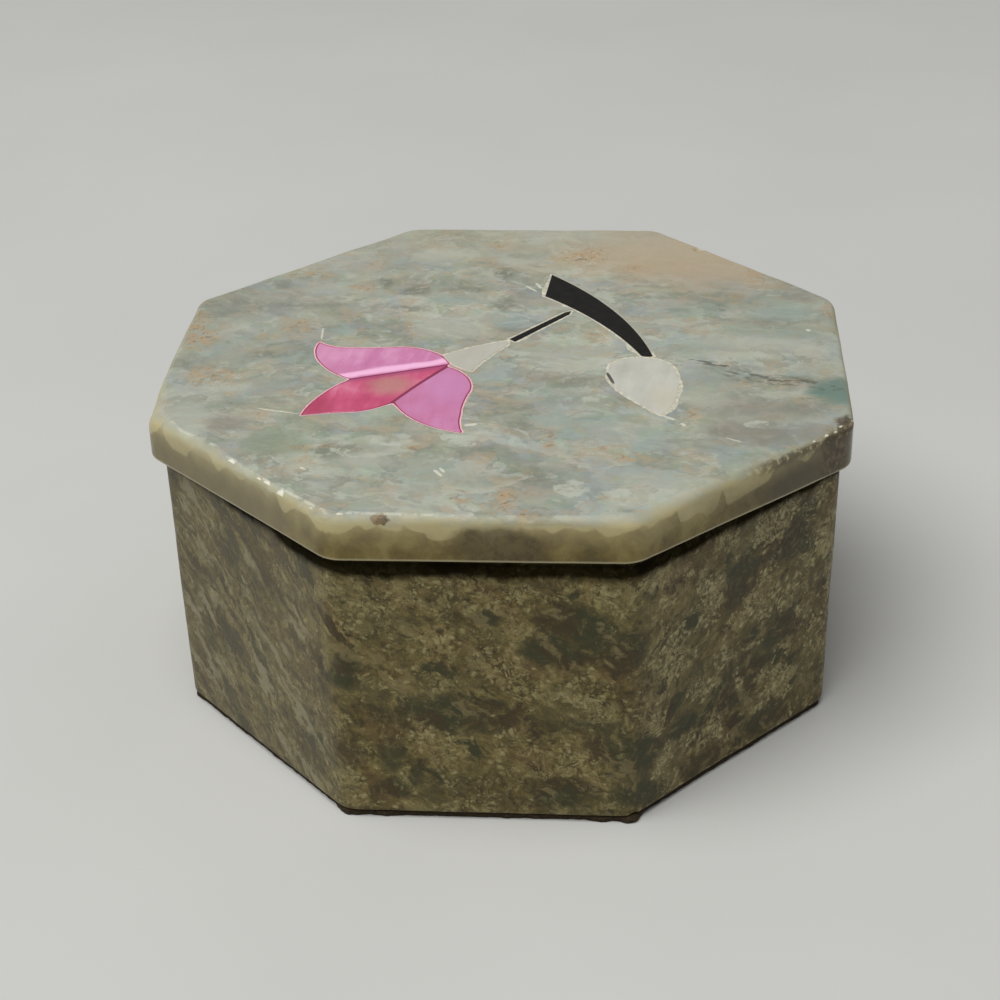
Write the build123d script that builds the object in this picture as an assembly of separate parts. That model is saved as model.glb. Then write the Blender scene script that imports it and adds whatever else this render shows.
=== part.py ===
from build123d import *
import os

# An eight-sided carved stone trinket box with a lift-off lid.
# A flower and a bud are laid into the lid's top.
# Millimetres. The origin is the middle of the underside, +Z is up and -Y is the front.

# Box body
side_count = 8
body_width = 73.8  # across two opposite sides at the rim
body_lean = 0.4  # how far each side leans in from the rim down to the foot
body_height = 31.8
body_corner_radius = 3.0
body_edge_break = 0.5
wall_thickness = 5.9  # at the middle of a side
floor_thickness = 5.0
hollow_corner_radius = 3.0
hollow_edge_break = 0.4

# Felt under the body
felt_thickness = 0.8
felt_proud = 0.15  # how far it shows beyond the body's foot
felt_corner_radius = 0.8

# Lid
lid_overhang = 1.2
lid_thickness = 5.2
lid_corner_radius = 3.6
lid_edge_radius = 0.7
lid_lower_edge_break = 0.3
step_depth = 3.0  # of the round step that drops into the hollow
step_clearance = 0.4
step_edge_break = 0.5

# Inlay
inlay_thickness = 1.5
cement_gap = 0.3  # joint width around each inlaid piece
cement_bed = 0.3  # under each inlaid piece

# Inlay outlines, seen from above.
# Each row is a corner's x and y, and how far the edge to the next corner bows out.
petal_back_outline = [
    (-6.2, -3.0, 0.1),
    (-7.4, -0.8, 0.5),
    (-12.0, 1.3, -0.2),
    (-19.2, 1.0, -0.2),
    (-21.6, 2.3, 0.5),
    (-20.6, -3.1, 0.4),
    (-16.8, -7.0, 0.0),
]
petal_middle_outline = [
    (-6.4, -3.4, 0.0),
    (-16.8, -7.35, 0.7),
    (-20.9, -16.1, -0.1),
    (-15.2, -15.1, 0.3),
    (-11.7, -12.9, -0.15),
]
petal_front_outline = [
    (-6.2, -3.9, 0.15),
    (-11.2, -12.7, 0.6),
    (-6.6, -18.4, 0.1),
    (-3.4, -19.7, -0.2),
    (-3.9, -15.5, -0.2),
    (-3.3, -9.6, 0.9),
]
calyx_outline = [
    (0.0, 3.3, 0.4),
    (-6.9, -0.7, 0.1),
    (-5.8, -3.0, 0.1),
    (-3.5, -4.8, -0.3),
    (0.1, 2.2, 0.0),
]
flower_stem_outline = [
    (0.2, 3.8, 0.0),
    (0.9, 3.1, 0.0),
    (6.8, 10.9, 0.0),
    (7.0, 11.9, 0.0),
    (6.2, 11.4, 0.0),
]
main_stem_outline = [
    (4.2, 22.8, 0.0),
    (3.7, 16.2, -1.1),
    (15.4, -0.4, 0.2),
    (16.7, -0.4, 1.8),
]
bud_outline = [
    (14.8, -0.9, 1.0),
    (11.8, -4.2, 0.5),
    (13.4, -9.9, 0.2),
    (17.7, -15.2, 0.4),
    (19.5, -9.0, 0.2),
    (19.2, -4.2, 0.5),
    (17.0, -1.2, 0.1),
]
inlay_outlines = {
    "petal_back": petal_back_outline,
    "petal_middle": petal_middle_outline,
    "petal_front": petal_front_outline,
    "calyx": calyx_outline,
    "flower_stem": flower_stem_outline,
    "main_stem": main_stem_outline,
    "bud": bud_outline,
}

# Sizes that follow from those above
foot_level = felt_thickness
rim_level = foot_level + body_height
lid_top_level = rim_level + lid_thickness
foot_width = body_width - 2 * body_lean
felt_width = foot_width + 2 * felt_proud
lid_width = body_width + 2 * lid_overhang
hollow_radius = body_width / 2 - wall_thickness
hollow_depth = body_height - floor_thickness
step_radius = hollow_radius - step_clearance
pocket_depth = inlay_thickness + cement_bed


def rounded_plan(width, corner_radius):
    """The box's plan: equal sides, one of them square to the front, and rounded corners."""
    plan = RegularPolygon(width / 2, side_count, major_radius=False, rotation=180 / side_count)
    return fillet(plan.vertices(), corner_radius)


def inlay_face(outline):
    """A flat face from a list of corners and bows."""
    edges = []
    for (x, y, bow), (next_x, next_y, _) in zip(outline, outline[1:] + outline[:1]):
        if bow == 0:
            edges.append(Line((x, y), (next_x, next_y)))
        else:
            edges.append(SagittaArc((x, y), (next_x, next_y), -bow))
    return make_face(edges)


def make_body_shell():
    """One carved stone block with a round turned hollow."""
    foot = Pos(0, 0, foot_level) * rounded_plan(foot_width, body_corner_radius)
    rim = Pos(0, 0, rim_level) * rounded_plan(body_width, body_corner_radius)
    block = loft([foot, rim], ruled=True)
    levels = block.faces().sort_by(Axis.Z)
    block = chamfer(levels[0].edges() + levels[-1].edges(), body_edge_break)
    hollow = Pos(0, 0, rim_level) * Cylinder(
        hollow_radius, hollow_depth, align=(Align.CENTER, Align.CENTER, Align.MAX)
    )
    hollow = fillet(hollow.edges().sort_by(Axis.Z)[0], hollow_corner_radius)
    shell = block - hollow
    mouth = shell.faces().sort_by(Axis.Z)[-1].inner_wires()[0]
    return chamfer(mouth.edges(), hollow_edge_break)


def make_base_felt():
    return extrude(rounded_plan(felt_width, felt_corner_radius), felt_thickness)


def make_pocket():
    """The sunk area in the lid that holds the inlay and its cement."""
    plan = Sketch()
    for outline in inlay_outlines.values():
        plan += offset(inlay_face(outline), cement_gap)
    return Pos(0, 0, lid_top_level) * extrude(plan, -pocket_depth)


def make_inlay_piece(outline):
    return Pos(0, 0, lid_top_level) * extrude(inlay_face(outline), -inlay_thickness)


def make_lid_slab(pocket):
    """The lid with its overhanging slab, its locating step and the inlay pocket."""
    slab = Pos(0, 0, rim_level) * extrude(rounded_plan(lid_width, lid_corner_radius), lid_thickness)
    slab = fillet(slab.faces().sort_by(Axis.Z)[-1].edges(), lid_edge_radius)
    slab = chamfer(slab.faces().sort_by(Axis.Z)[0].edges(), lid_lower_edge_break)
    step = Pos(0, 0, rim_level) * Cylinder(
        step_radius, step_depth, align=(Align.CENTER, Align.CENTER, Align.MAX)
    )
    step = chamfer(step.edges().sort_by(Axis.Z)[0], step_edge_break)
    return slab + step - pocket


pocket = make_pocket()
pieces = {name: make_inlay_piece(outline) for name, outline in inlay_outlines.items()}
nodes = {
    "body_shell": make_body_shell(),
    "base_felt": make_base_felt(),
    "lid_slab": make_lid_slab(pocket),
    "inlay_cement": pocket - list(pieces.values()),
    **pieces,
}

os.makedirs("parts", exist_ok=True)
for name, solid in nodes.items():
    export_step(solid, f"parts/{name}.step")
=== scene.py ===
import math
import random
from functools import partial, reduce

import bmesh
import bpy
from mathutils import Matrix, Vector, noise
from mathutils.geometry import delaunay_2d_cdt, intersect_line_line_2d


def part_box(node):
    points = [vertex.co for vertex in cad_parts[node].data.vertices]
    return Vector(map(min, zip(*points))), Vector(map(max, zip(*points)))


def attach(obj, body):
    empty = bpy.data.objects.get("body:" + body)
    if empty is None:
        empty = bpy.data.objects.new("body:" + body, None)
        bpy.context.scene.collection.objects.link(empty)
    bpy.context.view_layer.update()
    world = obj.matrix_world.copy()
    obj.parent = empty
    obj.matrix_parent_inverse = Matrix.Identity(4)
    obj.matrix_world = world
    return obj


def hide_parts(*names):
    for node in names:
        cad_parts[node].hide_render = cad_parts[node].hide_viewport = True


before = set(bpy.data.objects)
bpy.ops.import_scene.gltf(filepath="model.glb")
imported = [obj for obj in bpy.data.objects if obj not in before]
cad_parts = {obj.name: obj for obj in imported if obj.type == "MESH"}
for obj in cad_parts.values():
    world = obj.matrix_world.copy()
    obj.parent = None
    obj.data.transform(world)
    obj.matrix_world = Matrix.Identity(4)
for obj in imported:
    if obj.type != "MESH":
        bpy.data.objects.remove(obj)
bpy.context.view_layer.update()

# A carved stone trinket box with an inlaid lift-off lid.
# Lengths are in millimetres until a mesh is made, which is in metres.
# X is to the right, -Y is the front and Z is up.
MM = 0.001

# Levels and widths, in the frame's own sizes
LID_OVERHANG = 1.2
BODY_LEAN = 0.4
WALL = 5.9
FLOOR_THICKNESS = 5.0
STEP_CLEARANCE = 0.4
FELT_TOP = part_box("base_felt")[1].z / MM
RIM_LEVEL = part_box("body_shell")[1].z / MM
LID_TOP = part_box("lid_slab")[1].z / MM
STEP_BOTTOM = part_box("lid_slab")[0].z / MM
PIECE_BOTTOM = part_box("main_stem")[0].z / MM
POCKET_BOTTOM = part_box("inlay_cement")[0].z / MM
LID_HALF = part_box("lid_slab")[1].x / MM
RIM_HALF = LID_HALF - LID_OVERHANG
FOOT_HALF = RIM_HALF - BODY_LEAN
HOLLOW_RADIUS = RIM_HALF - WALL
HOLLOW_FLOOR = FELT_TOP + FLOOR_THICKNESS
HOLLOW_CORNER = 3.0
STEP_RADIUS = HOLLOW_RADIUS - STEP_CLEARANCE

# The eight sides were cut by hand. Counted from the right-hand side towards the back,
# these say how far each side lies beyond the true octagon, and how many degrees it is turned.
LID_SIDES_OUT = (0.0, 0.45, -0.1, -1.0, -0.1, 0.05, -0.15, 0.0)
LID_SIDES_TURNED = (0.0, -0.7, 0.1, 0.7, 0.2, 1.1, 0.4, -1.8)
BODY_SIDES_OUT = (0.2, 0.1, -0.1, -0.2, -0.1, 0.1, 0.35, -0.25)
BODY_SIDES_TURNED = (0.0, 0.0, 0.0, 0.0, 0.0, -1.5, 0.0, 1.8)
LID_CORNER_RADIUS = 3.6
BODY_CORNER_RADIUS = 3.2
FELT_CORNER_RADIUS = 0.9
SIDE_TURN = 45  # degrees from one side to the next
SIDE_STEPS = 110
CORNER_STEPS = 14
ROUND_STEPS = 256

random.seed(7)


def shade(colour):
    """A socket as it is, or a picture's 0 to 255 values as the linear colour that shaders use."""
    if isinstance(colour, bpy.types.NodeSocket):
        return colour
    shares = [value / 255 for value in colour]
    return [s / 12.92 if s <= 0.04045 else ((s + 0.055) / 1.055) ** 2.4 for s in shares] + [1.0]


# Meshes made ring by ring


class Shape:
    """A mesh in millimetres, made of rings of vertices joined by bands and flat fills."""

    def __init__(self, *layers):
        self.bm = bmesh.new()
        self.layers = {name: self.bm.verts.layers.float.new(name) for name in layers}

    def ring(self, points, **values):
        made = [self.bm.verts.new(point) for point in points]
        for name, value in values.items():
            for vertex in made:
                vertex[self.layers[name]] = value
        return made

    def band(self, ring, next_ring):
        count = len(ring)
        for i in range(count):
            j = (i + 1) % count
            self.bm.faces.new((ring[i], ring[j], next_ring[j], next_ring[i]))

    def bands(self, rings):
        for ring, next_ring in zip(rings, rings[1:]):
            self.band(ring, next_ring)

    def fill(self, *rings):
        """Level faces between rings, where a ring inside another one is the edge of a hole."""
        vertices = [vertex for ring in rings for vertex in ring]
        edges = []
        for ring in rings:
            first = len(edges)
            edges += [(first + i, first + (i + 1) % len(ring)) for i in range(len(ring))]
        places = [vertex.co.xy for vertex in vertices]
        spots, lines, faces, sources, line_sources, _ = delaunay_2d_cdt(places, edges, [], 0, 1e-5)
        level = vertices[0].co.z
        corners = []
        for spot, source in zip(spots, sources):
            corners.append(vertices[source[0]] if source else self.bm.verts.new((*spot, level)))
        walls = {frozenset(line) for line, source in zip(lines, line_sources) if source}
        for face in within(faces, walls):
            self.bm.faces.new([corners[i] for i in face])

    def finish(self, name, material, sharp_degrees=40):
        bmesh.ops.recalc_face_normals(self.bm, faces=self.bm.faces)
        bmesh.ops.scale(self.bm, vec=(MM, MM, MM), verts=self.bm.verts)
        mesh = bpy.data.meshes.new(name)
        self.bm.to_mesh(mesh)
        self.bm.free()
        for polygon in mesh.polygons:
            polygon.use_smooth = True
        mesh.set_sharp_from_angle(angle=math.radians(sharp_degrees))
        mesh.materials.append(material)
        piece = bpy.data.objects.new(name, mesh)
        bpy.context.scene.collection.objects.link(piece)
        return piece


def within(faces, walls):
    """The faces that lie within the walls, found by walking in from outside."""
    neighbours = {}
    for index, face in enumerate(faces):
        for pair in zip(face, face[1:] + face[:1]):
            neighbours.setdefault(frozenset(pair), []).append(index)
    inside = {}
    waiting = [(found[0], pair in walls) for pair, found in neighbours.items() if len(found) == 1]
    while waiting:
        index, state = waiting.pop()
        if index in inside:
            continue
        inside[index] = state
        face = faces[index]
        for pair in map(frozenset, zip(face, face[1:] + face[:1])):
            waiting += [(other, state != (pair in walls)) for other in neighbours[pair] if other != index]
    return [face for index, face in enumerate(faces) if inside[index]]


def waver(point, size, seed=0.0):
    """Smooth noise from -1 to 1 that changes over about that many millimetres."""
    return noise.noise(Vector(point) / size + Vector((seed, -seed, 2 * seed)))


def plan(half, out, turned, corner_radius):
    """Points round a hand-cut eight-sided plan, with the direction that each one faces."""
    lines = []
    for i, (beyond, extra_turn) in enumerate(zip(out, turned)):
        angle = math.radians(SIDE_TURN * i + extra_turn)
        lines.append((Vector((math.cos(angle), math.sin(angle))), half + beyond, angle))

    def corner(i):
        (first, first_half, _), (second, second_half, _) = lines[i % len(lines)], lines[(i + 1) % len(lines)]
        across = Matrix((first, second)).inverted()
        return across @ Vector((first_half - corner_radius, second_half - corner_radius))

    points = []
    for i, (facing, _, angle) in enumerate(lines):
        start = corner(i - 1) + facing * corner_radius
        end = corner(i) + facing * corner_radius
        for step in range(SIDE_STEPS):
            points.append((start.lerp(end, step / SIDE_STEPS), facing))
        turn = math.radians(SIDE_TURN + turned[(i + 1) % len(turned)] - turned[i])
        for step in range(CORNER_STEPS):
            direction = angle + turn * step / CORNER_STEPS
            facing_here = Vector((math.cos(direction), math.sin(direction)))
            points.append((corner(i) + facing_here * corner_radius, facing_here))
    return points


def raised(point, level):
    return Vector((point.x, point.y, level))


def circle(radius, level):
    turns = (2 * math.pi * i / ROUND_STEPS for i in range(ROUND_STEPS))
    return [(radius * math.cos(turn), radius * math.sin(turn), level) for turn in turns]


def quarter(steps):
    """How far in and how far down the points of a rounded edge lie, as shares of its radius."""
    angles = (math.pi / 2 * i / steps for i in range(steps + 1))
    return [(1 - math.sin(angle), 1 - math.cos(angle)) for angle in angles]


def bitten(point, bites):
    """A point pushed back to the surface of each small ball that takes a chip out of an edge."""
    for centre, radius in bites:
        away = point - centre
        if away.length < radius:
            point = centre + away.normalized() * radius
    return point


def swelling(point, table):
    """How much is added at a point by entries of x, y, reach and amount."""
    extra = 0.0
    for x, y, reach, amount in table:
        near = max(0.0, 1 - math.hypot(point.x - x, point.y - y) / reach)
        extra += amount * near * near * (3 - 2 * near)
    return extra


BITE_OUT = 0.75  # the way out of an edge at which a chip's ball lies
BITE_UP = 0.66


def edge_bite(x, y, level, radius, depth):
    """A chip in the edge at a level, near a point seen from above."""
    edge = Vector((x, y, level))
    upward = Vector((0, 0, BITE_UP if level > RIM_LEVEL else -BITE_UP))
    return edge + (Vector((x, y, 0)).normalized() * BITE_OUT + upward) * (radius - depth), radius


# The lid: chips that the top edge shows, as x, y, radius and depth
LID_CHIPS = (
    (-26.6, -27.4, 1.1, 0.22), (-25.7, -28.1, 0.8, 0.2), (-22.3, -31.6, 0.9, 0.2),
    (-20.6, -33.3, 1.1, 0.35), (-17.3, -36.2, 1.0, 0.28), (-15.2, -37.6, 0.9, 0.2),
    (-10.5, -38.1, 0.7, 0.25), (-9.8, -38.2, 0.6, 0.35), (-9.2, -38.1, 0.5, 0.2), (4.8, -37.8, 0.8, 0.2),
    (12.6, -37.8, 0.8, 0.16), (29.0, -25.1, 0.9, 0.25), (33.4, -21.1, 0.8, 0.25), (34.8, -19.9, 0.9, 0.3),
    (35.8, -18.6, 0.7, 0.25), (32.2, -22.4, 0.6, 0.2), (28.2, -26.0, 0.6, 0.2), (-13.6, -38.0, 0.6, 0.18),
    (-16.2, -37.0, 0.6, 0.2), (-18.4, -35.2, 0.6, 0.15), (-21.4, -32.4, 0.6, 0.2),
    (-24.4, -29.4, 0.6, 0.16), (37.5, -14.8, 0.9, 0.3), (37.3, -16.4, 0.8, 0.35), (36.9, -17.6, 0.9, 0.3),
    (37.6, 6.5, 0.7, 0.12), (22.0, 31.0, 0.8, 0.12), (-9.5, 37.6, 0.7, 0.12), (-37.6, 9.0, 0.8, 0.12),
)
# Where the top edge is worn rounder, as x, y, reach and extra radius
LID_RUBBED = (
    (-36.6, -14.6, 9.0, 1.4), (-30.6, -23.0, 5.0, 0.8), (-27.0, -25.5, 5.0, 0.5),
    (-14.0, -37.0, 8.0, 0.5), (17.0, -36.5, 9.0, 0.9), (27.0, -27.0, 9.0, 0.7), (36.0, 12.0, 9.0, 0.4),
)
LID_EDGE_RADIUS = 0.75
LID_LOWER_EDGE_RADIUS = 0.3
LID_FLAT_FROM = 3.3  # beyond this inset nothing touches the flat top
LID_FLAT_SHARES = (1.0, 0.62, 0.42, 0.27, 0.16, 0.07)  # the rings between there and the rounded edge
LID_SIDE_ROWS = 18
LID_EDGE_STEPS = 12
TOP_EDGE_DEPTH = 0.15  # the level of the chips below the lid's top
# How far in and how far up the points of the lid's step lie, from its side inwards
STEP_PROFILE = ((0.0, 0.5), (0.15, 0.15), (0.5, 0.0), (4.0, 0.0))


def small_nicks(outline, level, count, inset):
    nicks = []
    for _ in range(count):
        point, facing = random.choice(outline)
        spot = point - facing * inset
        radius, depth = random.uniform(0.3, 0.7), random.uniform(0.04, 0.12)
        nicks.append(edge_bite(spot.x, spot.y, level, radius, depth))
    return nicks


def flat_loops(node, level):
    """The closed outlines, seen from above, of a CAD node's flat faces that face up at a level."""
    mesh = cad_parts[node].data
    ways = {}
    for polygon in mesh.polygons:
        corners = [mesh.vertices[i].co / MM for i in polygon.vertices]
        if polygon.normal.z > 0.9 and all(abs(corner.z - level) < 0.01 for corner in corners):
            keys = [(round(corner.x, 3), round(corner.y, 3)) for corner in corners]
            for start, end in zip(keys, keys[1:] + keys[:1]):
                if (end, start) in ways:
                    del ways[(end, start)]
                else:
                    ways[(start, end)] = True
    following = dict(ways.keys())
    loops = []
    while following:
        first = next(iter(following))
        loop = [Vector(first)]
        step = following.pop(first)
        while step != first:
            loop.append(Vector(step))
            step = following.pop(step)
        loops.append(loop)
    return loops


def refined(loop, spacing=0.15):
    """The same outline with more points along its longer stretches."""
    points = []
    for start, end in zip(loop, loop[1:] + loop[:1]):
        count = max(1, math.ceil((end - start).length / spacing))
        points += [start.lerp(end, i / count) for i in range(count)]
    return points


def facings(loop):
    """The outward direction at each point of a loop that runs anticlockwise."""
    count = len(loop)
    found = []
    for i in range(count):
        along = loop[(i + 1) % count] - loop[i - 1]
        found.append(Vector((along.y, -along.x)).normalized())
    return found


# Where the cement spreads wider than its joint, as x, y, reach and extra width
CEMENT_SWELLS = (
    (3.0, 18.4, 3.2, 0.35), (14.2, 1.4, 1.8, 0.45), (6.1, 13.2, 1.2, 0.3), (1.8, 3.8, 1.6, 0.25),
    (-1.6, -1.4, 3.0, 0.12), (-11.4, -13.3, 0.9, 0.2), (18.8, -13.4, 2.6, 0.35), (19.9, -8.6, 3.0, 0.2),
    (12.2, -6.4, 2.6, 0.12),
)


def unknotted(loop, reach=16):
    """The same outline without the small knots where moved points cross at a tight corner."""
    for _ in range(2):
        half = len(loop) // 2
        loop = loop[half:] + loop[:half]
        i = 0
        while i < len(loop) - 3:
            for j in range(min(i + reach, len(loop) - 2), i + 1, -1):
                crossing = intersect_line_line_2d(loop[i], loop[i + 1], loop[j], loop[j + 1])
                if crossing:
                    loop[i + 1:j + 1] = [crossing]
                    break
            i += 1
    return loop


def pocket_loops():
    """The outlines of the sunk area that holds the inlay, worn uneven."""
    loops = []
    for loop in flat_loops("lid_slab", POCKET_BOTTOM):
        points = refined(loop)
        uneven = []
        for point, facing in zip(points, facings(points)):
            spot = (point.x, point.y, 0)
            extra = 0.05 * waver(spot, 0.5) + 0.07 * waver(spot, 2.0, 3.1)
            uneven.append(point + facing * (extra + swelling(point, CEMENT_SWELLS)))
        loops.append(unknotted(uneven))
    return loops


def at(points, level):
    return [raised(point, level) for point in points]


def lid_rounding(point):
    """The radius of the lid's top edge, which is uneven and worn rounder in places."""
    radius = LID_EDGE_RADIUS * (1 + 0.35 * waver((point.x, point.y, 0), 5.0))
    return radius + swelling(point, LID_RUBBED)


def lid_rings(outline):
    """Rings of points from the flat of the top, over the rounded edge and down the sides."""
    radii = [lid_rounding(point) for point, _ in outline]
    low, low_radius = RIM_LEVEL + LID_LOWER_EDGE_RADIUS, LID_LOWER_EDGE_RADIUS
    # For each row, how far in and at what level each point of the outline lies
    rows = [[(r + share * (LID_FLAT_FROM - r), LID_TOP) for r in radii] for share in LID_FLAT_SHARES]
    rows += [[(inward * r, LID_TOP - down * r) for r in radii] for inward, down in quarter(LID_EDGE_STEPS)]
    for row in range(1, LID_SIDE_ROWS):
        tops = [LID_TOP - r for r in radii]
        rows.append([(0.0, top + (low - top) * row / LID_SIDE_ROWS) for top in tops])
    for inward, down in reversed(quarter(4)):
        rows.append([(inward * low_radius, RIM_LEVEL + down * low_radius)] * len(radii))
    return [
        [raised(point - facing * inset, level) for (point, facing), (inset, level) in zip(outline, row)]
        for row in rows
    ]


def make_lid(material):
    outline = plan(LID_HALF, LID_SIDES_OUT, LID_SIDES_TURNED, LID_CORNER_RADIUS)
    edge_level = LID_TOP - TOP_EDGE_DEPTH
    bites = [edge_bite(x, y, edge_level, radius, depth) for x, y, radius, depth in LID_CHIPS]
    bites += small_nicks(outline, edge_level, 70, 0.25)
    lower_bites = small_nicks(outline, RIM_LEVEL, 40, 0.1)
    shape = Shape("cut")
    made = []
    for index, ring in enumerate(lid_rings(outline)):
        vertices = []
        for point, (_, facing) in zip(ring, outline):
            sway = 0.07 * waver(point, 11.0) + 0.02 * waver(point, 2.2, 5.0)
            point = point - raised(facing, 0) * (0.02 + sway)
            if index > 1:
                point = bitten(point, bites)
            if index > len(LID_FLAT_SHARES) + LID_EDGE_STEPS:
                point = bitten(point, lower_bites)
            point.x = max(-LID_HALF, min(LID_HALF, point.x))
            point.y = max(-LID_HALF, min(LID_HALF, point.y))
            vertices.append(shape.bm.verts.new(point))
        made.append(vertices)
    shape.bands(made)

    mouths = []
    for loop in pocket_loops():
        mouth = shape.ring(at(loop, LID_TOP))
        floor = shape.ring(at(loop, POCKET_BOTTOM))
        shape.band(mouth, floor)
        shape.fill(floor)
        mouths.append(mouth)
    for vertex in made[0]:
        vertex.co.z = LID_TOP
    shape.fill(made[0], *mouths)

    profile = [(STEP_RADIUS, RIM_LEVEL)]
    profile += [(STEP_RADIUS - inset, STEP_BOTTOM + up) for inset, up in STEP_PROFILE]
    step = [shape.ring(circle(radius, level), cut=1.0) for radius, level in profile]
    shape.bands(step)
    shape.fill(step[-1])
    for vertex in made[-1]:
        vertex.co.z = RIM_LEVEL
    shape.fill(made[-1], step[0])
    return shape.finish("lid_stone", material, sharp_degrees=50)


# The body: chips at its foot and rim, as x, y, radius and depth
BODY_FOOT_CHIPS = (
    (15.6, -36.4, 1.3, 0.4), (-36.4, -15.0, 1.2, 0.4), (30.8, -20.6, 1.0, 0.3), (-20.0, 30.5, 1.4, 0.4),
    (36.5, 14.0, 1.1, 0.35),
)
BODY_RIM_RADIUS = 1.1
BODY_FOOT_RADIUS = 0.35
BODY_SIDE_ROWS = 62
HOLLOW_EDGE_BREAK = 0.4


def hollow_profile():
    """The radius and level of each ring of the hollow, from the rim to the middle of its floor."""
    edge = HOLLOW_EDGE_BREAK
    profile = [(HOLLOW_RADIUS + edge, RIM_LEVEL)]
    profile += [(HOLLOW_RADIUS + edge * inward, RIM_LEVEL - edge * down) for inward, down in quarter(3)[1:]]
    depth = RIM_LEVEL - HOLLOW_FLOOR - HOLLOW_CORNER - edge
    profile += [(HOLLOW_RADIUS, RIM_LEVEL - edge - depth * step / 6) for step in range(1, 6)]
    profile += [
        (HOLLOW_RADIUS - HOLLOW_CORNER * down, HOLLOW_FLOOR + HOLLOW_CORNER * inward)
        for inward, down in quarter(10)
    ]
    floor_radius = HOLLOW_RADIUS - HOLLOW_CORNER - 1.5
    return profile + [(floor_radius, HOLLOW_FLOOR), (12.0, HOLLOW_FLOOR)]


def make_body(material):
    rim = plan(RIM_HALF, BODY_SIDES_OUT, BODY_SIDES_TURNED, BODY_CORNER_RADIUS)
    foot = plan(FOOT_HALF, BODY_SIDES_OUT, BODY_SIDES_TURNED, BODY_CORNER_RADIUS)
    bites = [edge_bite(x, y, FELT_TOP, radius, depth) for x, y, radius, depth in BODY_FOOT_CHIPS]
    bites += small_nicks(foot, FELT_TOP, 50, 0.1)
    shape = Shape("cut", "outside")
    height = RIM_LEVEL - FELT_TOP
    # Each row's inset and level
    rows = [(BODY_RIM_RADIUS + 0.5, RIM_LEVEL)]
    rows += [(inward * BODY_RIM_RADIUS, RIM_LEVEL - down * BODY_RIM_RADIUS) for inward, down in quarter(7)]
    top_row, low_row = RIM_LEVEL - BODY_RIM_RADIUS, FELT_TOP + BODY_FOOT_RADIUS
    for row in range(1, BODY_SIDE_ROWS):
        rows.append((0.0, top_row + (low_row - top_row) * row / BODY_SIDE_ROWS))
    for inward, up in reversed(quarter(4)):
        rows.append((inward * BODY_FOOT_RADIUS, FELT_TOP + up * BODY_FOOT_RADIUS))

    rings = []
    for inset, level in rows:
        vertices = []
        for (top_point, facing), (low_point, _) in zip(rim, foot):
            spot = low_point.lerp(top_point, (level - FELT_TOP) / height) - facing * inset
            point = raised(spot, level)
            sway = 0.12 * waver(point, 13.0, 1.7) + 0.035 * waver(point, 3.0, 8.0)
            point = bitten(point - raised(facing, 0) * sway, bites)
            vertex = shape.bm.verts.new(point)
            vertex[shape.layers["outside"]] = min(1.0, (RIM_LEVEL - level) / 0.5)
            vertices.append(vertex)
        rings.append(vertices)
    shape.bands(rings)

    for vertex in rings[-1]:
        vertex.co.z = FELT_TOP
    shape.fill(rings[-1])

    hollow = [shape.ring(circle(radius, level), cut=1.0) for radius, level in hollow_profile()]
    shape.bands(hollow)
    shape.fill(hollow[-1])
    for vertex in rings[0]:
        vertex.co.z = RIM_LEVEL
    shape.fill(rings[0], hollow[0])
    return shape.finish("body_stone", material, sharp_degrees=50)


# The felt's edge from top to bottom, as shares of its thickness and how far each level is tucked in
FELT_EDGE = ((1.0, 0.35), (0.8, 0.02), (0.55, 0.0), (0.3, 0.0), (0.08, 0.06), (0.0, 0.22))
FELT_TRIM = 0.4  # how far inside the foot the felt is cut
# Scraps of felt that stick out past the foot, as x, y, reach and length
FELT_FLAPS = (
    (-15.3, -36.5, 2.4, 0.3), (-11.0, -36.6, 2.0, 0.2), (12.0, -36.8, 2.2, 0.3), (15.2, -36.4, 2.0, 0.5),
    (-36.2, -15.2, 1.6, 0.15), (36.2, -14.6, 1.6, 0.15), (2.0, -36.8, 1.2, 0.2), (28.5, -22.6, 1.4, 0.2),
)


def make_felt(material):
    outline = plan(FOOT_HALF - FELT_TRIM, BODY_SIDES_OUT, BODY_SIDES_TURNED, FELT_CORNER_RADIUS)
    shape = Shape()
    rings = []
    for share, tuck in FELT_EDGE:
        ring = []
        for point, facing in outline:
            spot = raised(point, FELT_TOP * share)
            ragged = 0.10 * waver(spot, 0.7) + 0.16 * max(0.0, waver(spot, 2.5, 4.0))
            for x, y, reach, length in FELT_FLAPS:
                near = max(0.0, 1 - (point - Vector((x, y))).length / reach)
                ragged += length * near * (1.2 + 0.6 * waver(spot, 0.9, 6.0))
            ring.append(spot + raised(facing, 0) * (ragged - tuck))
        rings.append(shape.ring(ring))
    shape.bands(rings)
    shape.fill(rings[0])
    shape.fill(rings[-1])
    return shape.finish("felt_sheet", material, sharp_degrees=60)


# The inlay
PIECES = ("petal_back", "petal_middle", "petal_front", "calyx", "flower_stem", "main_stem", "bud")
STAINED = ("petal_back", "petal_middle", "petal_front")
PIECE_EDGE_BREAK = 0.04
CEMENT_SUNK = 0.03


def piece_loop(node):
    return refined(max(flat_loops(node, LID_TOP), key=len))


def make_piece(node, name, material):
    loop = piece_loop(node)
    inner = [point - facing * PIECE_EDGE_BREAK for point, facing in zip(loop, facings(loop))]
    shape = Shape()
    top = shape.ring(at(inner, LID_TOP))
    edge = shape.ring(at(loop, LID_TOP - PIECE_EDGE_BREAK))
    low = shape.ring(at(loop, PIECE_BOTTOM))
    shape.bands([top, edge, low])
    shape.fill(top)
    shape.fill(low)
    return shape.finish(name, material, sharp_degrees=30)


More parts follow.
